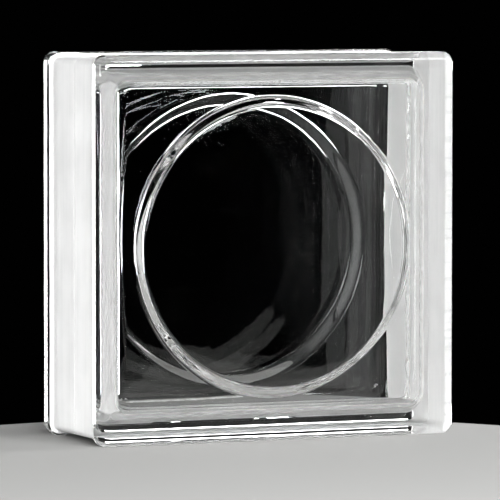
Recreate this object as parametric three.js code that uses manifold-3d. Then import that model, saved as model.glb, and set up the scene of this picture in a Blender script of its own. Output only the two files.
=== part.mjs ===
// Hollow glass block for building walls and partitions, in millimetres, +Z up.
//
// Two pressed glass shells meet face to face at half the block's thickness and close an air space
// between them. A clear rim stands out round each face, and the channel that the rims leave round
// the block's four sides is coated white for the mortar. The block stands on its lower rims, with
// the origin under its middle, its front face towards -Y and its back face towards +Y.

import * as THREE from "three";
import { mergeVertices } from "three/addons/utils/BufferGeometryUtils.js";
import Module from "manifold-3d";

// Overall size
const WIDTH = 190;
const HEIGHT = 190;
const THICKNESS = 80;

// Rim round each face
const RIM_DEPTH = 10;
const RIM_CORNER_RADIUS = 5.8;
const RIM_FRONT_ROUNDING = 5.3;
const RIM_REAR_ROUNDING = 0.6;

// Channel round the four sides, between the rims
const CHANNEL_DEPTH = 3;
const CHANNEL_CORNER_RADIUS = 3;
const LIP_ROUNDING = 1;

// Glass, from the outside inwards. The air space is pressed a little above the middle of the block,
// so that the lower side wall is the heavier one.
const FACE_GLASS = 15;
const SIDE_GLASS = 9.6;
const CAVITY_CORNER_RADIUS = 8;
const CAVITY_FILLET = 5;
const DRAFT_ANGLE = THREE.MathUtils.degToRad(11);
const CAVITY_RISE = 0.9;

// Round well pressed into the inner side of each face, with a shallow dished floor
const WELL_TOP_RADIUS = 73.2;
const WELL_FOOT_RADIUS = 69.9;
const WELL_ROUNDING = 1.8;
const WELL_FILLET = 1.6;
const WELL_EDGE_GLASS = 8.4;
const WELL_CENTRE_GLASS = 7.6;

// Bead of fused glass that stands out into the air space along the seam
const BEAD_HEIGHT = 3.2;
const BEAD_WIDTH = 3;

// White coating that lines the channel
const COATING_THICKNESS = 0.6;
const COATING_CLEARANCE = 0.2;

// Fineness of the rounded shapes
const CORNER_STEPS = 4;
const ROUNDING_STEPS = 5;
const WELL_SIDES = 64;
const WELL_STEPS = 4;

// How far a cutting or joining solid runs past the surface that it crosses
const OVERRUN = 1;

const wasm = await Module();
wasm.setup();

// Outline of a rectangle with rounded corners, centred on the origin.
function roundedRectangle(width, height, radius) {
  const x = width / 2 - radius;
  const y = height / 2 - radius;
  const outline = new THREE.Shape();
  outline.absarc(x, y, radius, 0, Math.PI / 2);
  outline.absarc(-x, y, radius, Math.PI / 2, Math.PI);
  outline.absarc(-x, -y, radius, Math.PI, 1.5 * Math.PI);
  outline.absarc(x, -y, radius, 1.5 * Math.PI, 2 * Math.PI);
  outline.closePath();
  return outline;
}

// A bar with rounded corners from one depth to another, its end edges rounded by the given amount.
function bar(width, height, radius, start, end, rounding = 0) {
  const outline = roundedRectangle(width - 2 * rounding, height - 2 * rounding, radius - rounding);
  const geometry = new THREE.ExtrudeGeometry(outline, {
    depth: end - start - 2 * rounding,
    curveSegments: CORNER_STEPS,
    bevelEnabled: rounding > 0,
    bevelThickness: rounding,
    bevelSize: rounding,
    bevelSegments: ROUNDING_STEPS,
  });
  return geometry.translate(0, 0, start + rounding);
}

// A rectangular frame with rounded corners, from one depth to another, its edges plain unless a
// bevel is given; a bevel makes the frame bulge at both ends, outwards and into its opening.
function frame(outer, inner, start, end, bevel = { bevelEnabled: false }) {
  const outline = roundedRectangle(...outer);
  outline.holes.push(roundedRectangle(...inner));
  const geometry = new THREE.ExtrudeGeometry(outline, {
    depth: end - start,
    curveSegments: CORNER_STEPS,
    ...bevel,
  });
  return geometry.translate(0, 0, start);
}

// Opens a bar outwards by the mould's draft, from the given depth on.
function addDraft(geometry, start) {
  const position = geometry.attributes.position;
  for (let i = 0; i < position.count; i += 1) {
    const spread = Math.tan(DRAFT_ANGLE) * (position.getZ(i) - start);
    position.setX(i, position.getX(i) + Math.sign(position.getX(i)) * spread);
    position.setY(i, position.getY(i) + Math.sign(position.getY(i)) * spread);
  }
  return geometry;
}

function toSolid(geometry) {
  geometry.deleteAttribute("normal");
  geometry.deleteAttribute("uv");
  const merged = mergeVertices(geometry);
  const corners = merged.index.array;
  const triangles = [];
  for (let i = 0; i < corners.length; i += 3) {
    const [a, b, c] = corners.subarray(i, i + 3);
    if (a !== b && b !== c && c !== a) {
      triangles.push(a, b, c);
    }
  }
  const mesh = new wasm.Mesh({
    numProp: 3,
    vertProperties: new Float32Array(merged.attributes.position.array),
    triVerts: new Uint32Array(triangles),
  });
  return new wasm.Manifold(mesh);
}

function toGeometry(solid) {
  const mesh = solid.getMesh();
  const geometry = new THREE.BufferGeometry();
  geometry.setAttribute("position", new THREE.BufferAttribute(mesh.vertProperties, 3));
  geometry.setIndex(new THREE.BufferAttribute(mesh.triVerts, 1));
  geometry.computeVertexNormals();
  return geometry;
}

// The space that the well takes out of the face: a dished floor, a sloping wall and rounded edges.
// It is as wide as the well wants to be; the shell keeps it within the plunger that presses the cavity.
function wellSpace() {
  const foot = new THREE.Vector2(WELL_FOOT_RADIUS, WELL_EDGE_GLASS);
  const top = new THREE.Vector2(WELL_TOP_RADIUS, FACE_GLASS);
  const slope = top.clone().sub(foot).normalize();
  const halfWall = foot.distanceTo(top) / 2;
  const filletEnd = foot.clone().addScaledVector(slope, Math.min(WELL_FILLET, halfWall));
  const roundingStart = top.clone().addScaledVector(slope, -Math.min(WELL_ROUNDING, halfWall));
  const floorRadius = WELL_FOOT_RADIUS - WELL_FILLET;
  const dishDepth = WELL_EDGE_GLASS - WELL_CENTRE_GLASS;
  const dishRadius = (floorRadius ** 2 + dishDepth ** 2) / (2 * dishDepth);
  const floorAngle = Math.asin(floorRadius / dishRadius);
  const roundingEnd = WELL_TOP_RADIUS + WELL_ROUNDING;

  const profile = new THREE.Path();
  profile.absarc(0, WELL_CENTRE_GLASS + dishRadius, dishRadius, -Math.PI / 2, floorAngle - Math.PI / 2);
  profile.quadraticCurveTo(foot.x, foot.y, filletEnd.x, filletEnd.y);
  profile.lineTo(roundingStart.x, roundingStart.y);
  profile.quadraticCurveTo(top.x, top.y, roundingEnd, FACE_GLASS);
  profile.lineTo(roundingEnd, FACE_GLASS + OVERRUN);
  profile.lineTo(0, FACE_GLASS + OVERRUN);
  return new THREE.LatheGeometry(profile.getPoints(WELL_STEPS), WELL_SIDES).rotateX(Math.PI / 2);
}

// One pressed shell, lying on its face: the face at depth 0 and the seam at half the thickness.
// Half of the bead, a rounded ridge along the side walls, is left standing at the seam.
function shell() {
  const seam = THICKNESS / 2;
  const waistWidth = WIDTH - 2 * CHANNEL_DEPTH;
  const waistHeight = HEIGHT - 2 * CHANNEL_DEPTH;
  const cavityWidth = waistWidth - 2 * SIDE_GLASS;
  const cavityHeight = waistHeight - 2 * SIDE_GLASS;

  const roundedFront = bar(
    WIDTH, HEIGHT, RIM_CORNER_RADIUS, 0, RIM_DEPTH + 2 * RIM_FRONT_ROUNDING, RIM_FRONT_ROUNDING,
  );
  const roundedRear = bar(
    WIDTH, HEIGHT, RIM_CORNER_RADIUS, -2 * RIM_REAR_ROUNDING, RIM_DEPTH, RIM_REAR_ROUNDING,
  );
  const waist = bar(
    waistWidth,
    waistHeight,
    CHANNEL_CORNER_RADIUS,
    RIM_DEPTH - RIM_REAR_ROUNDING - LIP_ROUNDING - OVERRUN,
    seam,
    LIP_ROUNDING,
  );
  const cavity = bar(
    cavityWidth,
    cavityHeight,
    CAVITY_CORNER_RADIUS,
    FACE_GLASS,
    seam + OVERRUN + CAVITY_FILLET,
    CAVITY_FILLET,
  );

  const spread = 2 * Math.tan(DRAFT_ANGLE) * (seam - FACE_GLASS);
  const wallWidth = cavityWidth + spread;
  const wallHeight = cavityHeight + spread;
  const bead = frame(
    [wallWidth + 2 * OVERRUN, wallHeight + 2 * OVERRUN, CAVITY_CORNER_RADIUS + OVERRUN],
    [wallWidth, wallHeight, CAVITY_CORNER_RADIUS],
    seam,
    seam + OVERRUN,
    {
      bevelEnabled: true,
      bevelThickness: BEAD_WIDTH / 2,
      bevelSize: BEAD_HEIGHT,
      bevelSegments: ROUNDING_STEPS,
    },
  );
  const airSpace = toSolid(addDraft(cavity, FACE_GLASS))
    .subtract(toSolid(bead))
    .translate(0, CAVITY_RISE, 0);

  const plunger = bar(
    cavityWidth, cavityHeight, CAVITY_CORNER_RADIUS, -OVERRUN, FACE_GLASS + 2 * OVERRUN,
  ).translate(0, CAVITY_RISE, 0);

  return toSolid(roundedFront)
    .intersect(toSolid(roundedRear))
    .add(toSolid(waist))
    .subtract(airSpace)
    .subtract(toSolid(wellSpace()).intersect(toSolid(plunger)));
}

// The coating: a thin lining of the channel, with a band round the waist and a flange up each rim.
// The flanges are equally wide all the way round, so that the rims' sharper corners stay clear.
function coating() {
  const innerWidth = WIDTH - 2 * CHANNEL_DEPTH + 2 * COATING_CLEARANCE;
  const innerHeight = HEIGHT - 2 * CHANNEL_DEPTH + 2 * COATING_CLEARANCE;
  const innerRadius = CHANNEL_CORNER_RADIUS + COATING_CLEARANCE;
  const inner = [innerWidth, innerHeight, innerRadius];
  const band = [
    innerWidth + 2 * COATING_THICKNESS,
    innerHeight + 2 * COATING_THICKNESS,
    innerRadius + COATING_THICKNESS,
  ];
  const flange = [
    WIDTH - 2 * RIM_REAR_ROUNDING,
    HEIGHT - 2 * RIM_REAR_ROUNDING,
    CHANNEL_CORNER_RADIUS + CHANNEL_DEPTH - RIM_REAR_ROUNDING,
  ];
  const start = RIM_DEPTH + COATING_CLEARANCE;
  const end = THICKNESS - start;

  return toSolid(frame(band, inner, start, end))
    .add(toSolid(frame(flange, inner, start, start + COATING_THICKNESS)))
    .add(toSolid(frame(flange, inner, end - COATING_THICKNESS, end)));
}

function glass() {
  return new THREE.MeshStandardMaterial({
    color: 0xeaf2f1,
    roughness: 0.03,
    metalness: 0,
    transparent: true,
    opacity: 0.35,
  });
}

function namedMesh(name, geometry, material) {
  const mesh = new THREE.Mesh(geometry, material);
  mesh.name = name;
  return mesh;
}

const shellGeometry = toGeometry(shell());
const whiteCoating = new THREE.MeshStandardMaterial({ color: 0xf1f2f0, roughness: 0.55, metalness: 0 });

// Turned up from lying on its face, with the seam at the middle of the block.
const backHalf = new THREE.Group();
backHalf.add(namedMesh("back_half", shellGeometry.clone(), glass()));
backHalf.add(namedMesh("edge_coating", toGeometry(coating()), whiteCoating));
backHalf.rotation.x = Math.PI / 2;
backHalf.position.set(0, THICKNESS / 2, HEIGHT / 2);

// The same shell, turned to face the other way.
const frontHalf = new THREE.Group();
frontHalf.add(namedMesh("front_half", shellGeometry, glass()));
frontHalf.rotation.set(Math.PI / 2, 0, Math.PI, "ZYX");
frontHalf.position.set(0, -THICKNESS / 2, HEIGHT / 2);

const glassBlock = new THREE.Group();
glassBlock.add(frontHalf, backHalf);

export default glassBlock;
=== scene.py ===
"""Hollow glass block for walls and partitions, laid out as a Blender add-on and run as a script.

The block is one body of fused glass round a sealed air space, with a white coating in the channel
round its four sides. Lengths are in metres, +Z is up and the front face looks towards -Y.
"""

import math

import bmesh
import bpy
from mathutils import Matrix, Quaternion, Vector, noise


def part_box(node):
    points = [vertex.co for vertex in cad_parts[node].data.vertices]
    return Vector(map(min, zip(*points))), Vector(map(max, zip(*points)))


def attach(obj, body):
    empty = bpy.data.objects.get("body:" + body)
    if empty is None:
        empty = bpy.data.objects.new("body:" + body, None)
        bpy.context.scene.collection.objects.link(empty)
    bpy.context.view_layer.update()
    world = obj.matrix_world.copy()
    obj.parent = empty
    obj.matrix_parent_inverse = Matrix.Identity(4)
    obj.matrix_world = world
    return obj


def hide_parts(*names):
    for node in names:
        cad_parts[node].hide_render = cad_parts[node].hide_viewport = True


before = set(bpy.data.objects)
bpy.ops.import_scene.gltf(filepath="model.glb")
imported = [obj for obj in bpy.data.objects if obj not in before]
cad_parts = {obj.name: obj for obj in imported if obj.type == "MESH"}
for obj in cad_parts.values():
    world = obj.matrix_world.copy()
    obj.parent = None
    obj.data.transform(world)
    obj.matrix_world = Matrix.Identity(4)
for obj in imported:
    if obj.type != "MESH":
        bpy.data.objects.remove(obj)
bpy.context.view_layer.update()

bl_info = {
    "name": "Glass Block",
    "version": (1, 0, 0),
    "blender": (4, 5, 0),
    "location": "3D View > Sidebar > Glass Block",
    "description": "Models a hollow pressed glass block with its white side coating and a plain stage",
    "category": "Add Mesh",
}

MM = 0.001

BLOCK_LOW = Vector(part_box("front_half")[0])
BLOCK_HIGH = Vector(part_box("back_half")[1])
WIDTH = BLOCK_HIGH.x - BLOCK_LOW.x
HEIGHT = BLOCK_HIGH.z - BLOCK_LOW.z
THICKNESS = BLOCK_HIGH.y - BLOCK_LOW.y
CENTRE = (BLOCK_LOW + BLOCK_HIGH) / 2


class GlassBlockSizes(bpy.types.PropertyGroup):
    """Sizes of the glass and its coating"""

    rim_depth: bpy.props.FloatProperty(
        name="Rim depth",
        description="How far each clear rim reaches back from its face",
        default=10 * MM,
        unit="LENGTH",
    )
    rim_corner: bpy.props.FloatProperty(
        name="Rim corner radius",
        description="Radius of the rims' four corners",
        default=5.8 * MM,
        unit="LENGTH",
    )
    rim_front_rounding: bpy.props.FloatProperty(
        name="Rim front rounding",
        description="Rounding between the face and the rim's side",
        default=5.3 * MM,
        unit="LENGTH",
    )
    rim_rear_rounding: bpy.props.FloatProperty(
        name="Rim rear rounding",
        description="Rounding at the rear edge of the rim",
        default=0.6 * MM,
        unit="LENGTH",
    )
    channel_depth: bpy.props.FloatProperty(
        name="Channel depth",
        description="How far the coated sides lie in from the rims",
        default=3 * MM,
        unit="LENGTH",
    )
    channel_corner: bpy.props.FloatProperty(
        name="Channel corner radius",
        description="Radius of the coated sides' four corners",
        default=3 * MM,
        unit="LENGTH",
    )
    channel_root: bpy.props.FloatProperty(
        name="Channel root radius",
        description="Hollow rounding where the channel meets the rims",
        default=1.2 * MM,
        unit="LENGTH",
    )
    lip_rounding: bpy.props.FloatProperty(
        name="Lip rounding",
        description="Rounding of the shells' outer edges where they meet at the seam",
        default=1 * MM,
        unit="LENGTH",
    )
    face_glass: bpy.props.FloatProperty(
        name="Face glass",
        description="Thickness of the face outside the round well",
        default=15 * MM,
        unit="LENGTH",
    )
    side_glass: bpy.props.FloatProperty(
        name="Side glass",
        description="Thickness of the side walls beside the face",
        default=9.6 * MM,
        unit="LENGTH",
    )
    cavity_rise: bpy.props.FloatProperty(
        name="Air space rise",
        description="How far the middle of the air space lies above the middle of the block",
        default=0.9 * MM,
        unit="LENGTH",
    )
    cavity_corner: bpy.props.FloatProperty(
        name="Air space corner radius",
        description="Radius of the air space's four long corners",
        default=8 * MM,
        unit="LENGTH",
    )
    cavity_fillet: bpy.props.FloatProperty(
        name="Air space fillet",
        description="Hollow rounding between the face glass and the side walls",
        default=5 * MM,
        unit="LENGTH",
    )
    draft: bpy.props.FloatProperty(
        name="Draft",
        description="Angle by which the air space widens towards the seam",
        default=math.radians(11.0),
        subtype="ANGLE",
    )
    well_top: bpy.props.FloatProperty(
        name="Well top radius",
        description="Radius at which the well's wall meets the thick glass",
        default=73.2 * MM,
        unit="LENGTH",
    )
    well_foot: bpy.props.FloatProperty(
        name="Well foot radius",
        description="Radius at which the well's wall meets its floor",
        default=69.9 * MM,
        unit="LENGTH",
    )
    well_rounding: bpy.props.FloatProperty(
        name="Well rounding",
        description="Length of the rounding at the top of the well's wall",
        default=1.8 * MM,
        unit="LENGTH",
    )
    well_fillet: bpy.props.FloatProperty(
        name="Well fillet",
        description="Length of the hollow rounding at the foot of the well's wall",
        default=1.6 * MM,
        unit="LENGTH",
    )
    well_edge_glass: bpy.props.FloatProperty(
        name="Well edge glass",
        description="Thickness of the face at the edge of the well's floor",
        default=8.4 * MM,
        unit="LENGTH",
    )
    well_centre_glass: bpy.props.FloatProperty(
        name="Well centre glass",
        description="Thickness of the face at the middle of the well's floor",
        default=7.6 * MM,
        unit="LENGTH",
    )
    bead_height: bpy.props.FloatProperty(
        name="Seam bead height",
        description="How far the fused seam stands out into the air space",
        default=3.2 * MM,
        unit="LENGTH",
    )
    bead_width: bpy.props.FloatProperty(
        name="Seam bead width",
        description="Width of the fused seam's bead",
        default=3 * MM,
        unit="LENGTH",
    )
    coating_thickness: bpy.props.FloatProperty(
        name="Coating thickness",
        description="Thickness of the white coating",
        default=0.6 * MM,
        unit="LENGTH",
    )
    contact: bpy.props.FloatProperty(
        name="Coating contact",
        description="How far the coating lies in the glass, so that no air is left between them",
        default=0.05 * MM,
        unit="LENGTH",
    )


class GlassBlockFinishes(bpy.types.PropertyGroup):
    """Colours and surface grain of the block"""

    glass_clear: bpy.props.FloatVectorProperty(
        name="Clear glass",
        description="Colour that the clearest glass lets through",
        default=(0.997, 0.999, 0.998),
        subtype="COLOR",
        size=3,
    )
    glass_tinted: bpy.props.FloatVectorProperty(
        name="Tinted glass",
        description="Colour that the slightly greener streaks of the glass let through",
        default=(0.982, 0.994, 0.988),
        subtype="COLOR",
        size=3,
    )
    glass_smear: bpy.props.FloatProperty(
        name="Glass smear",
        description="Roughness of the faint smears that pressing leaves on the glass",
        default=0.03,
        min=0,
        max=1,
        subtype="FACTOR",
    )
    glass_ripple: bpy.props.FloatProperty(
        name="Glass ripple",
        description="Height of the ripples in the pressed surface",
        default=0.02 * MM,
        unit="LENGTH",
    )
    coating_light: bpy.props.FloatVectorProperty(
        name="Thick coating",
        description="Colour of the white coating where it lies thick",
        default=(0.91, 0.91, 0.905),
        subtype="COLOR",
        size=3,
    )
    coating_dark: bpy.props.FloatVectorProperty(
        name="Thin coating",
        description="Colour of the white coating where it lies thin",
        default=(0.84, 0.845, 0.84),
        subtype="COLOR",
        size=3,
    )
    coating_bare: bpy.props.FloatVectorProperty(
        name="Patchy coating",
        description="Colour of the small patches on the rims' steps where the glass shows through",
        default=(0.77, 0.775, 0.77),
        subtype="COLOR",
        size=3,
    )
    coating_grain: bpy.props.FloatProperty(
        name="Coating grain",
        description="Height of the grain of the sprayed coating",
        default=0.04 * MM,
        unit="LENGTH",
    )


class GlassBlockStage(bpy.types.PropertyGroup):
    """Floor, lamps and camera"""

    floor_radius: bpy.props.FloatProperty(
        name="Floor radius",
        description="Radius of the round pale floor",
        default=0.21,
        unit="LENGTH",
    )
    floor_behind: bpy.props.FloatProperty(
        name="Floor behind the block",
        description="How far the floor reaches behind the block, seen from the camera",
        default=0.085,
        unit="LENGTH",
    )
    floor_colour: bpy.props.FloatVectorProperty(
        name="Floor colour",
        description="Colour of the floor",
        default=(0.28, 0.28, 0.275),
        subtype="COLOR",
        size=3,
    )
    backdrop_colour: bpy.props.FloatVectorProperty(
        name="Backdrop colour",
        description="Colour behind the block",
        default=(0.0003, 0.0003, 0.0003),
        subtype="COLOR",
        size=3,
    )
    azimuth: bpy.props.FloatProperty(
        name="Camera azimuth",
        description="Angle of the camera round the block, from straight in front of it",
        default=math.radians(-23.186),
        subtype="ANGLE",
    )
    elevation: bpy.props.FloatProperty(
        name="Camera elevation",
        description="Angle of the camera above the level",
        default=math.radians(3.607),
        subtype="ANGLE",
    )
    roll: bpy.props.FloatProperty(
        name="Camera roll",
        description="Turn of the camera about its own axis",
        default=math.radians(0.031),
        subtype="ANGLE",
    )
    distance: bpy.props.FloatProperty(
        name="Camera distance",
        description="Distance from the camera to what it looks at",
        default=2.4985,
        unit="LENGTH",
    )
    target: bpy.props.FloatVectorProperty(
        name="Camera target",
        description="Point that the camera looks at",
        default=(0.995 * MM, 0, 91.535 * MM),
        subtype="TRANSLATION",
        size=3,
    )
    lens: bpy.props.FloatProperty(
        name="Lens",
        description="Focal length for a sensor 36 mm wide",
        default=362.2,
        unit="CAMERA",
    )


# Mesh helpers. A section is a rounded rectangle across the block: half its width, its corner radius
# and its depth. A surface is swept from one section to the next, so that no two loops are twisted.

# How finely the corners, sides, roundings, bead and dished floor are stepped
CORNER_STEPS = 14
SIDE_CUTS = 60
LOOP_STEPS = 4 * (CORNER_STEPS + SIDE_CUTS)
RIM_STEPS = 10
EDGE_STEPS = 4
ROOT_STEPS = 5
FILLET_STEPS = 8
BEAD_STEPS = 7
DISH_STEPS = 12

# Distance under which two points are the same
TOUCH = 1e-6

# Width of the strip beside a rounding that keeps the shading of the flat next to it even, and of the
# strip round the faces' flat middle
STRIP = 0.3 * MM
FACE_STRIP = 1.5 * MM

# The channel's section starts this far under the rim's rear edge. Its floor has a strip beside the
# root and the lip, and one more loop at a depth from the seam. The lip's rounding ends at an angle,
# where it meets the lip of the other shell.
STEP_START = 0.2 * MM
ROOT_STRIP = 0.5 * MM
LIP_STRIP = 0.6 * MM
FLOOR_LOOP = 8 * MM
LIP_ANGLE = 60

# Least corner radius of the air space where its fillet runs out on the face glass
LEAST_CORNER = 0.5 * MM

# How uneven the pressed glass is: heights of the waves, and their lengths along X, Y and Z
WALL_WAVE = 0.12 * MM
WALL_SWELL = 0.3 * MM
FACE_WAVE = 0.06 * MM
BEAD_WAVE = 1.0 * MM
DRAG_LENGTHS = (9 * MM, 60 * MM, 9 * MM)
SWELL_LENGTHS = (30 * MM, 40 * MM, 30 * MM)
BEAD_LENGTHS = (7 * MM, 7 * MM, 7 * MM)

# Where each unevenness is read in the noise, so that no two are alike
DRAG_SEED = 3.1
SWELL_SEED = 7.7
FACE_SEED = 1.3
BEAD_SEED = 5.9
LEAN_SEED = 9.1
RAGGED_SEED = 2.7

# How far the coating's edge falls short of the rims' edge at most, over what length that changes, and
# how near the edge a point counts as part of it
RAGGED_EDGE = 0.3 * MM
RAGGED_REACH = 1 * MM
RAGGED_LENGTHS = (11 * MM, 50 * MM, 11 * MM)

# Over what depth the coating's bare patches begin as it turns up the rims' steps
STEP_BLEND = 0.8 * MM

# Stands a circle up across the block, round its middle
UPRIGHT = Matrix.Translation((CENTRE.x, 0, CENTRE.z)) @ Matrix.Rotation(math.pi / 2, 4, "X")


def corner_centre(section, right, up):
    """The centre of one corner's arc."""
    half_width, radius, depth = section
    half_height = half_width + (HEIGHT - WIDTH) / 2
    return Vector((CENTRE.x + right * (half_width - radius), depth, CENTRE.z + up * (half_height - radius)))


def corner_verts(verts):
    """The corners of a loop, each with the side that it is on."""
    for right in (-1, 1):
        for up in (-1, 1):
            across = [v for v in verts if (v.co.x - CENTRE.x) * right > 0]
            yield right, up, [v for v in across if (v.co.z - CENTRE.z) * up > 0]


def first_loop(bm, section):
    """The edges of a loop along a section."""
    radius = section[1]
    ring = bmesh.ops.create_circle(bm, segments=4 * CORNER_STEPS, radius=radius, matrix=UPRIGHT)["verts"]
    turn = Matrix.Rotation(math.pi / (4 * CORNER_STEPS), 3, "Y")
    bmesh.ops.rotate(bm, verts=ring, cent=CENTRE, matrix=turn)
    middle = Vector((CENTRE.x, 0, CENTRE.z))
    for right, up, corner in list(corner_verts(ring)):
        bmesh.ops.translate(bm, verts=corner, vec=corner_centre(section, right, up) - middle)
    return [edge for edge in bm.edges if edge.verts[0] in ring]


def next_loop(bm, loop, old, new):
    """Extrudes a loop from its old section to a new one."""
    made = bmesh.ops.extrude_edge_only(bm, edges=loop)["geom"]
    verts = [item for item in made if isinstance(item, bmesh.types.BMVert)]
    for right, up, corner in list(corner_verts(verts)):
        centre = corner_centre(old, right, up)
        scale = new[1] / old[1]
        bmesh.ops.scale(bm, verts=corner, vec=(scale, scale, scale), space=Matrix.Translation(-centre))
        bmesh.ops.translate(bm, verts=corner, vec=corner_centre(new, right, up) - centre)
    fresh = set(verts)
    return [edge for edge in made if isinstance(edge, bmesh.types.BMEdge) and fresh.issuperset(edge.verts)]


def sweep(bm, sections):
    """Adds a surface through all the sections."""
    loop = first_loop(bm, sections[0])
    for old, new in zip(sections, sections[1:]):
        loop = next_loop(bm, loop, old, new)


def cut_sides(bm):
    """Cuts the straight stretches of all loops into short ones."""
    long_edges = [edge for edge in bm.edges if edge.calc_length() > WIDTH / 2]
    bmesh.ops.subdivide_edges(bm, edges=long_edges, cuts=SIDE_CUTS, use_grid_fill=True)


def arc(centre, radius, start, end, steps):
    """Points along an arc in (outset, depth), angles in degrees."""
    points = []
    for i in range(steps + 1):
        angle = math.radians(start + (end - start) * i / steps)
        points.append((centre[0] + radius * math.cos(angle), centre[1] + radius * math.sin(angle)))
    return points


def finish_piece(bm, name, material):
    """Makes the mesh a smoothly shaded object of a material."""
    for face in bm.faces:
        face.smooth = True
    mesh = bpy.data.meshes.new(name)
    bm.to_mesh(mesh)
    bm.free()
    mesh.materials.append(material)
    piece = bpy.data.objects.new(name, mesh)
    bpy.context.collection.objects.link(piece)
    return piece


def rim_sections(s):
    """The rim from the front face to its rear edge: half width, corner radius and depth of each loop."""
    half = WIDTH / 2
    front = -THICKNESS / 2
    r = s.rim_front_rounding
    rear = s.rim_rear_rounding
    rim_end = front + s.rim_depth
    sections = [(half - r - strip, s.rim_corner - r, front) for strip in (FACE_STRIP, STRIP)]
    for x, y in arc((half - r, front + r), r, -90, 0, RIM_STEPS):
        sections.append((x, s.rim_corner - (half - x), y))
    sections.append((half, s.rim_corner, rim_end - rear - STRIP))
    for x, y in arc((half - rear, rim_end - rear), rear, 0, 90, EDGE_STEPS):
        sections.append((x, s.rim_corner - (half - x), y))
    return sections


def channel_sections(s, lift, edge_radius):
    """The channel from the rim's rear edge to the seam, at a height above the glass.

    The corner radius goes from edge_radius at the rim's rear edge to the channel's own at its floor.
    """
    edge = WIDTH / 2 - s.rim_rear_rounding
    wall = -THICKNESS / 2 + s.rim_depth + lift
    floor = WIDTH / 2 - s.channel_depth + lift
    root = s.channel_root - lift
    profile = [(edge - STEP_START, wall)]
    profile += arc((floor + root, wall + root), root, 270, 180, ROOT_STEPS)
    profile += [(floor, y) for y in (wall + root + ROOT_STRIP, -FLOOR_LOOP, -s.lip_rounding - LIP_STRIP)]
    profile += arc((floor - s.lip_rounding, -s.lip_rounding), s.lip_rounding, 0, LIP_ANGLE, EDGE_STEPS)
    sections = []
    for x, y in profile:
        share = (edge - x) / (edge - floor)
        radius = (1 - share) * edge_radius + share * (s.channel_corner + lift)
        sections.append((x, radius, y))
    return sections


def inner_sections(s):
    """The air space's wall from the face glass to the seam: half width, corner radius and depth."""
    start = WIDTH / 2 - s.channel_depth - s.side_glass
    floor = -THICKNESS / 2 + s.face_glass
    r = s.cavity_fillet
    slope = math.tan(s.draft)
    sections = [(start - r - STRIP, s.cavity_corner - r + LEAST_CORNER, floor)]
    for x, y in arc((start - r, floor + r), r, -90, 0, FILLET_STEPS):
        x += slope * (y - floor)
        sections.append((x, max(s.cavity_corner - (start - x), LEAST_CORNER), y))
    bead_start = -s.bead_width / 2
    for share in (0.25, 0.5, 0.75):
        y = floor + r + (bead_start - floor - r) * share
        sections.append((start + slope * (y - floor), s.cavity_corner, y))
    for i in range(BEAD_STEPS + 1):
        t = i / BEAD_STEPS
        y = bead_start * (1 - t)
        x = start + slope * (y - floor) - s.bead_height * math.sin(t * math.pi / 2) ** 2
        sections.append((x, s.cavity_corner, y))
    return sections


def well_profile(s):
    """The well from its middle to the thick glass: radius and glass thickness."""
    foot = Vector((s.well_foot, s.well_edge_glass))
    top = Vector((s.well_top, s.face_glass))
    slope = (top - foot).normalized()
    half_wall = (top - foot).length / 2
    fillet_end = foot + slope * min(s.well_fillet, half_wall)
    rounding_start = top - slope * min(s.well_rounding, half_wall)
    floor_radius = s.well_foot - s.well_fillet
    dish = s.well_edge_glass - s.well_centre_glass
    points = []
    for i in range(DISH_STEPS + 1):
        x = floor_radius * i / DISH_STEPS
        points.append(Vector((x, s.well_centre_glass + dish * (x / floor_radius) ** 2)))
    points += curve(points[-1], foot, fillet_end)
    points.append((fillet_end + rounding_start) / 2)
    points.append(rounding_start)
    points += curve(rounding_start, top, Vector((s.well_top + s.well_rounding, s.face_glass)))
    return points


def curve(start, control, end):
    """Points along a curve that leaves one point and reaches the other towards their corner."""
    points = []
    for i in range(1, FILLET_STEPS + 1):
        t = i / FILLET_STEPS
        points.append(start * (1 - t) ** 2 + control * 2 * t * (1 - t) + end * t ** 2)
    return points


def face_well(bm, s):
    """The round well of the front face."""
    front = -THICKNESS / 2
    profile = well_profile(s)
    verts = [bm.verts.new((CENTRE.x + p.x, front + p.y, CENTRE.z)) for p in profile]
    edges = [bm.edges.new(pair) for pair in zip(verts, verts[1:])]
    half_step = math.pi / LOOP_STEPS
    start = Matrix.Rotation(half_step, 3, "Y")
    bmesh.ops.rotate(bm, verts=verts, cent=CENTRE, matrix=start)
    bmesh.ops.spin(
        bm,
        geom=verts + edges,
        cent=(CENTRE.x, 0, CENTRE.z),
        axis=(0, 1, 0),
        angle=2 * math.pi,
        steps=LOOP_STEPS,
        use_merge=True,
    )
    bmesh.ops.remove_doubles(bm, verts=bm.verts, dist=TOUCH)


def mirrored(bm):
    """Adds the back half and closes the seam at the middle of the block."""
    bmesh.ops.mirror(bm, geom=bm.verts[:] + bm.edges[:] + bm.faces[:], axis="Y", merge_dist=TOUCH)


def open_edges(bm, depth):
    """The edges at a depth in the block that have a face on one side only."""
    boundary = [edge for edge in bm.edges if edge.is_boundary]
    return [edge for edge in boundary if all(abs(v.co.y - depth) < TOUCH for v in edge.verts)]


def waver(point, lengths, seed):
    """A smooth number between -1 and 1 that changes over the given lengths along X, Y and Z."""
    return noise.noise(Vector((point.x / lengths[0] + seed, point.y / lengths[1], point.z / lengths[2])))


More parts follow.
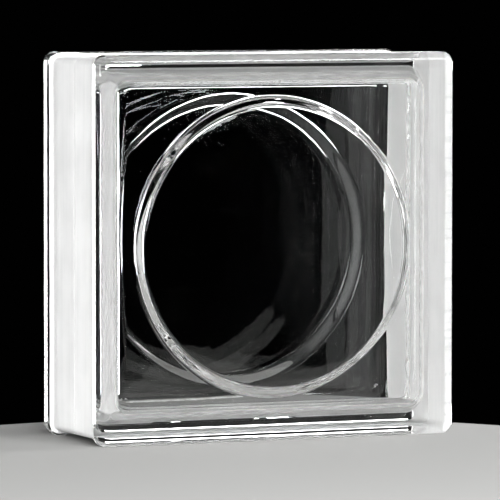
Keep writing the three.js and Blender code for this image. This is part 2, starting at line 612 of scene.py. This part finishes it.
def uneven_glass(bm, s):
    """Makes the pressed walls wavy along the press direction and the fused bead uneven."""
    bm.normal_update()
    bead = s.bead_width / 2
    shifts = []
    for v in bm.verts:
        drag = WALL_WAVE * waver(v.co, DRAG_LENGTHS, DRAG_SEED)
        swell = WALL_SWELL * waver(v.co, SWELL_LENGTHS, SWELL_SEED)
        face = FACE_WAVE * waver(v.co, SWELL_LENGTHS, FACE_SEED)
        upright = abs(v.normal.y)
        shift = v.normal * ((drag + swell) * (1 - upright) + face * upright)
        if abs(v.co.y) < bead:
            share = 1 - abs(v.co.y) / bead
            outward = Vector((v.co.x - CENTRE.x, 0, v.co.z - CENTRE.z)).normalized()
            shift = outward * BEAD_WAVE * share * waver(v.co, BEAD_LENGTHS, BEAD_SEED)
            shift += Vector((0, BEAD_WAVE * share * waver(v.co, SWELL_LENGTHS, LEAN_SEED), 0))
        shifts.append(shift)
    for v, shift in zip(bm.verts, shifts):
        v.co += shift


def ragged_edge(bm, s):
    """Lets the coating's edges on the rims' steps end unevenly."""
    edge = WIDTH / 2 - s.rim_rear_rounding
    step = THICKNESS / 2 - s.rim_depth
    for v in bm.verts:
        outward = Vector((v.co.x - CENTRE.x, 0, v.co.z - CENTRE.z))
        reach = max(abs(outward.x), abs(outward.z) - (HEIGHT - WIDTH) / 2)
        if reach > edge - RAGGED_REACH and abs(v.co.y) > step - RAGGED_REACH:
            share = 0.5 + 0.5 * waver(v.co, RAGGED_LENGTHS, RAGGED_SEED)
            v.co -= outward.normalized() * RAGGED_EDGE * share


def air_space_mesh(s):
    """The wavy surface of the air space, with a round well in each face."""
    bm = bmesh.new()
    sweep(bm, inner_sections(s))
    cut_sides(bm)
    bmesh.ops.translate(bm, verts=bm.verts, vec=(0, 0, s.cavity_rise))
    face_well(bm, s)
    bmesh.ops.bridge_loops(bm, edges=open_edges(bm, -THICKNESS / 2 + s.face_glass))
    mirrored(bm)
    uneven_glass(bm, s)
    return bm


def outside_mesh(s):
    """The outside of the glass: flat faces, rims, channel and the groove at the seam."""
    bm = bmesh.new()
    channel = channel_sections(s, 0, s.rim_corner - s.rim_rear_rounding)
    sweep(bm, rim_sections(s) + channel + [(channel[-1][0], channel[-1][1], 0)])
    cut_sides(bm)
    bmesh.ops.contextual_create(bm, geom=open_edges(bm, -THICKNESS / 2))
    mirrored(bm)
    return bm


def join_shells(outside, inside):
    """One body from the outside and the air space, whose faces look into the air."""
    bmesh.ops.recalc_face_normals(outside, faces=outside.faces)
    bmesh.ops.recalc_face_normals(inside, faces=inside.faces)
    bmesh.ops.reverse_faces(inside, faces=inside.faces)
    hollow = bpy.data.meshes.new("air_space")
    inside.to_mesh(hollow)
    inside.free()
    outside.from_mesh(hollow)
    bpy.data.meshes.remove(hollow)
    return outside


# Material helpers. All textures read the block's own coordinates, in metres. Each is given as its
# features per metre, its detail and, if stretched, how much finer it is along X, Y and Z. A span is
# the range of a texture's values over which its effect grows from nothing to full.

GLASS_IOR = 1.52
GLASS_STREAKS = (30, 3, (1, 0.3, 2))
GLASS_SMEARS = (24, 6, (1, 1, 2.5))
GLASS_RIPPLES = (110, 2)
GLASS_DRAG = (260, 1, (1, 0.15, 1))
TINT_SPAN = (0.4, 0.65)
SMEAR_SPAN = (0.56, 0.75)
DRAG_SHARE = 0.2

COATING_MOTTLE = (55, 5)
COATING_STREAKS = (14, 4, (1, 26, 1))
COATING_PATCHES = (420, 3)
COATING_SPRAY = (900, 4)
THIN_SPAN = (0.85, 1.3)
PATCH_SPAN = (0.54, 0.64)
SHEEN_SPAN = (0.3, 0.7)
COATING_ROUGHNESS = (0.5, 0.72)

# Light spreads this far in the coating. It spreads less where the coating faces down: from the first
# share at the first tilt to the second share at the second.
GLOW_DEPTH = 2.6 * MM
GLOW_TILTS = (-0.9, -0.4)
GLOW_SHARES = (0.25, 1)


def texture_space(tree, stretch):
    """Coordinates fixed to the block, stretched along X, Y and Z."""
    where = tree.nodes.new("ShaderNodeTexCoord")
    mapping = tree.nodes.new("ShaderNodeMapping")
    mapping.inputs["Scale"].default_value = stretch
    tree.links.new(where.outputs["Object"], mapping.inputs["Vector"])
    return mapping.outputs["Vector"]


def grain(tree, scale, detail, stretch=(1, 1, 1)):
    """Noise with a number of features per metre; its values lie round 0.5."""
    texture = tree.nodes.new("ShaderNodeTexNoise")
    texture.inputs["Scale"].default_value = scale
    texture.inputs["Detail"].default_value = detail
    tree.links.new(texture_space(tree, stretch), texture.inputs["Vector"])
    return texture.outputs["Fac"]


def ranged(tree, value, span, result=(0, 1)):
    """The value brought from one range to another and kept inside it."""
    change = tree.nodes.new("ShaderNodeMapRange")
    change.inputs["From Min"].default_value, change.inputs["From Max"].default_value = span
    change.inputs["To Min"].default_value, change.inputs["To Max"].default_value = result
    tree.links.new(value, change.inputs["Value"])
    return change.outputs["Result"]


def calculated(tree, operation, first, second):
    """Two values brought together, or one value and a number."""
    node = tree.nodes.new("ShaderNodeMath")
    node.operation = operation
    for socket, value in zip(node.inputs, (first, second)):
        if isinstance(value, (int, float)):
            socket.default_value = value
        else:
            tree.links.new(value, socket)
    return node.outputs["Value"]


def blended(tree, share, first, second):
    """The first colour where the share is 0 and the second where it is 1; either may be a node's."""
    mix = tree.nodes.new("ShaderNodeMix")
    mix.data_type = "RGBA"
    tree.links.new(share, mix.inputs["Factor"])
    colours = [socket for socket in mix.inputs if socket.type == "RGBA"]
    for socket, colour in zip(colours, (first, second)):
        if isinstance(colour, bpy.types.NodeSocket):
            tree.links.new(colour, socket)
        else:
            socket.default_value = (*colour, 1)
    return next(socket for socket in mix.outputs if socket.type == "RGBA")


def bumped(tree, height, distance, under=None):
    """A bump of a height in metres, on top of another one."""
    bump = tree.nodes.new("ShaderNodeBump")
    bump.inputs["Distance"].default_value = distance
    tree.links.new(height, bump.inputs["Height"])
    if under:
        tree.links.new(under, bump.inputs["Normal"])
    return bump.outputs["Normal"]


def glass_material(finishes):
    """Clear pressed glass with faint streaks, smears and ripples."""
    material = bpy.data.materials.new("clear pressed glass")
    material.use_nodes = True
    tree = material.node_tree
    shader = tree.nodes["Principled BSDF"]
    shader.inputs["Transmission Weight"].default_value = 1
    shader.inputs["IOR"].default_value = GLASS_IOR

    tint = ranged(tree, grain(tree, *GLASS_STREAKS), TINT_SPAN)
    colour = blended(tree, tint, finishes.glass_clear, finishes.glass_tinted)
    tree.links.new(colour, shader.inputs["Base Color"])

    smears = ranged(tree, grain(tree, *GLASS_SMEARS), SMEAR_SPAN, (0, finishes.glass_smear))
    tree.links.new(smears, shader.inputs["Roughness"])

    normal = bumped(tree, grain(tree, *GLASS_RIPPLES), finishes.glass_ripple)
    normal = bumped(tree, grain(tree, *GLASS_DRAG), finishes.glass_ripple * DRAG_SHARE, normal)
    tree.links.new(normal, shader.inputs["Normal"])
    return material


def coating_material(finishes, s):
    """Sprayed white coating: mottled, streaked round the block and patchy on the rims' steps."""
    material = bpy.data.materials.new("white side coating")
    material.use_nodes = True
    tree = material.node_tree
    shader = tree.nodes["Principled BSDF"]
    where = tree.nodes.new("ShaderNodeTexCoord")

    mottle = grain(tree, *COATING_MOTTLE)
    streaks = grain(tree, *COATING_STREAKS)
    thin = ranged(tree, calculated(tree, "ADD", mottle, streaks), THIN_SPAN)
    colour = blended(tree, thin, finishes.coating_light, finishes.coating_dark)

    place = tree.nodes.new("ShaderNodeSeparateXYZ")
    tree.links.new(where.outputs["Object"], place.inputs["Vector"])
    depth = calculated(tree, "ABSOLUTE", place.outputs["Y"], 0)
    step_depth = THICKNESS / 2 - s.rim_depth - s.coating_thickness
    step = ranged(tree, depth, (step_depth - STEP_BLEND, step_depth))
    patches = ranged(tree, grain(tree, *COATING_PATCHES), PATCH_SPAN)
    bare = calculated(tree, "MULTIPLY", step, patches)
    colour = blended(tree, bare, colour, finishes.coating_bare)
    tree.links.new(colour, shader.inputs["Base Color"])

    roughness = ranged(tree, mottle, SHEEN_SPAN, COATING_ROUGHNESS)
    tree.links.new(roughness, shader.inputs["Roughness"])
    normal = bumped(tree, streaks, finishes.coating_grain)
    normal = bumped(tree, grain(tree, *COATING_SPRAY), finishes.coating_grain, normal)
    tree.links.new(normal, shader.inputs["Normal"])

    facing = tree.nodes.new("ShaderNodeSeparateXYZ")
    tree.links.new(where.outputs["Normal"], facing.inputs["Vector"])
    glow = ranged(tree, facing.outputs["Z"], GLOW_TILTS, GLOW_SHARES)
    tree.links.new(glow, shader.inputs["Subsurface Weight"])
    shader.inputs["Subsurface Radius"].default_value = (1, 1, 1)
    shader.inputs["Subsurface Scale"].default_value = GLOW_DEPTH
    return material


class GLASSBLOCK_OT_glass_body(bpy.types.Operator):
    """Models the fused glass with its rims, channel, air space and round wells"""

    bl_idname = "glassblock.glass_body"
    bl_label = "Glass body"

    def execute(self, context):
        s = context.scene.glass_block_sizes
        material = glass_material(context.scene.glass_block_finishes)
        body = finish_piece(join_shells(outside_mesh(s), air_space_mesh(s)), "glass_body", material)
        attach(body, "root")
        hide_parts("front_half", "back_half")
        return {"FINISHED"}


class GLASSBLOCK_OT_edge_coating(bpy.types.Operator):
    """Models the white coating in the channel round the four sides"""

    bl_idname = "glassblock.edge_coating"
    bl_label = "Edge coating"

    def execute(self, context):
        s = context.scene.glass_block_sizes
        edge_radius = s.channel_corner + s.channel_depth - s.rim_rear_rounding
        under = channel_sections(s, -s.contact, edge_radius)
        over = channel_sections(s, s.coating_thickness - s.contact, edge_radius)
        bm = bmesh.new()
        under_seam = (under[-1][0], under[-1][1], 0)
        over_seam = (over[-1][0], over[-1][1], 0)
        sweep(bm, [under_seam] + under[::-1] + over + [over_seam])
        cut_sides(bm)
        ragged_edge(bm, s)
        mirrored(bm)
        bmesh.ops.recalc_face_normals(bm, faces=bm.faces)
        material = coating_material(context.scene.glass_block_finishes, s)
        coating = finish_piece(bm, "side_coating", material)
        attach(coating, "root")
        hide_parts("edge_coating")
        return {"FINISHED"}


# The floor's outline and roughness, the width of the camera's sensor and how far the camera sees
FLOOR_SEGMENTS = 192
FLOOR_ROUGHNESS = 0.9
SENSOR_MM = 36
VIEW_END = 20

# Soft lamps, all aimed at the middle of the block and equally far from it: name, angle round the
# block from straight in front of it, angle above the level, width, height and power in watts
LAMP_DISTANCE = 1.9
LAMPS = (
    ("front softbox", -9, 9, 1.2, 0.45, 130),
    ("small front lamp", 16.5, 8, 0.2, 0.2, 55),
    ("left softbox", -80, 10, 0.6, 0.6, 9),
    ("rear left softbox", -157, 1, 0.5, 0.7, 10),
    ("right softbox", 82, 26, 0.5, 0.5, 24),
    ("upper right softbox", 30, 38, 0.4, 0.4, 8),
    ("top softbox", 0, 80, 1.2, 1.0, 4),
    ("rear softbox", 156, 8, 0.8, 0.15, 2.5),
)


def around(azimuth, elevation):
    """The direction at an angle round the block, from straight in front of it, and above the level."""
    level = math.cos(elevation)
    return Vector((math.sin(azimuth) * level, -math.cos(azimuth) * level, math.sin(elevation)))


def add_floor(settings, to_camera):
    """Adds the round pale floor, which reaches further towards the camera than behind the block."""
    material = bpy.data.materials.new("pale floor")
    material.use_nodes = True
    shader = material.node_tree.nodes["Principled BSDF"]
    shader.inputs["Base Color"].default_value = (*settings.floor_colour, 1)
    shader.inputs["Roughness"].default_value = FLOOR_ROUGHNESS
    shader.inputs["Specular IOR Level"].default_value = 0
    forward = Vector((to_camera.x, to_camera.y, 0)).normalized()
    middle = forward * (settings.floor_radius - settings.floor_behind)
    bm = bmesh.new()
    bmesh.ops.create_circle(bm, cap_ends=True, segments=FLOOR_SEGMENTS, radius=settings.floor_radius)
    bmesh.ops.translate(bm, verts=bm.verts, vec=middle)
    floor = finish_piece(bm, "floor", material)


def add_backdrop(settings):
    """Adds the backdrop, of one colour all round."""
    world = bpy.data.worlds.new("studio")
    world.use_nodes = True
    background = world.node_tree.nodes["Background"]
    background.inputs["Color"].default_value = (*settings.backdrop_colour, 1)
    background.inputs["Strength"].default_value = 1
    bpy.context.scene.world = world


def add_lamp(name, azimuth, elevation, width, height, power):
    """Adds a rectangular soft lamp that the camera doesn't see."""
    data = bpy.data.lights.new(name, "AREA")
    data.shape = "RECTANGLE"
    data.size = width
    data.size_y = height
    data.energy = power
    lamp = bpy.data.objects.new(name, data)
    bpy.context.collection.objects.link(lamp)
    direction = around(math.radians(azimuth), math.radians(elevation))
    lamp.location = CENTRE + direction * LAMP_DISTANCE
    lamp.rotation_mode = "QUATERNION"
    lamp.rotation_quaternion = (-direction).to_track_quat("-Z", "Y")
    lamp.visible_camera = False


def add_camera(settings, to_camera):
    """Adds the camera and aims it at its target."""
    data = bpy.data.cameras.new("camera")
    data.lens = settings.lens
    data.sensor_width = SENSOR_MM
    data.clip_end = VIEW_END
    camera = bpy.data.objects.new("camera", data)
    bpy.context.collection.objects.link(camera)
    camera.location = Vector(settings.target) + to_camera * settings.distance
    camera.rotation_mode = "QUATERNION"
    turn = Quaternion((0, 0, 1), settings.roll)
    camera.rotation_quaternion = (-to_camera).to_track_quat("-Z", "Y") @ turn
    bpy.context.scene.camera = camera


class GLASSBLOCK_OT_stage(bpy.types.Operator):
    """Adds the pale floor, the dark backdrop, soft lamps and the camera"""

    bl_idname = "glassblock.stage"
    bl_label = "Stage"

    def execute(self, context):
        settings = context.scene.glass_block_stage
        to_camera = around(settings.azimuth, settings.elevation)
        add_floor(settings, to_camera)
        add_backdrop(settings)
        for lamp in LAMPS:
            add_lamp(*lamp)
        add_camera(settings, to_camera)
        context.scene.view_settings.view_transform = "Standard"
        return {"FINISHED"}


class GLASSBLOCK_PT_panel(bpy.types.Panel):
    """Lists the steps that model the block"""

    bl_label = "Glass Block"
    bl_idname = "GLASSBLOCK_PT_panel"
    bl_space_type = "VIEW_3D"
    bl_region_type = "UI"
    bl_category = "Glass Block"

    def draw(self, context):
        for operator in OPERATORS:
            self.layout.operator(operator.bl_idname)


SETTINGS = {
    "glass_block_sizes": GlassBlockSizes,
    "glass_block_finishes": GlassBlockFinishes,
    "glass_block_stage": GlassBlockStage,
}
OPERATORS = (GLASSBLOCK_OT_glass_body, GLASSBLOCK_OT_edge_coating, GLASSBLOCK_OT_stage)
CLASSES = (*SETTINGS.values(), *OPERATORS, GLASSBLOCK_PT_panel)


def register():
    for cls in CLASSES:
        bpy.utils.register_class(cls)
    for name, group in SETTINGS.items():
        setattr(bpy.types.Scene, name, bpy.props.PointerProperty(type=group))


def unregister():
    for name in SETTINGS:
        delattr(bpy.types.Scene, name)
    for cls in reversed(CLASSES):
        bpy.utils.unregister_class(cls)


def main():
    register()
    bpy.ops.glassblock.glass_body()
    bpy.ops.glassblock.edge_coating()
    bpy.ops.glassblock.stage()


if __name__ == "__main__":
    main()
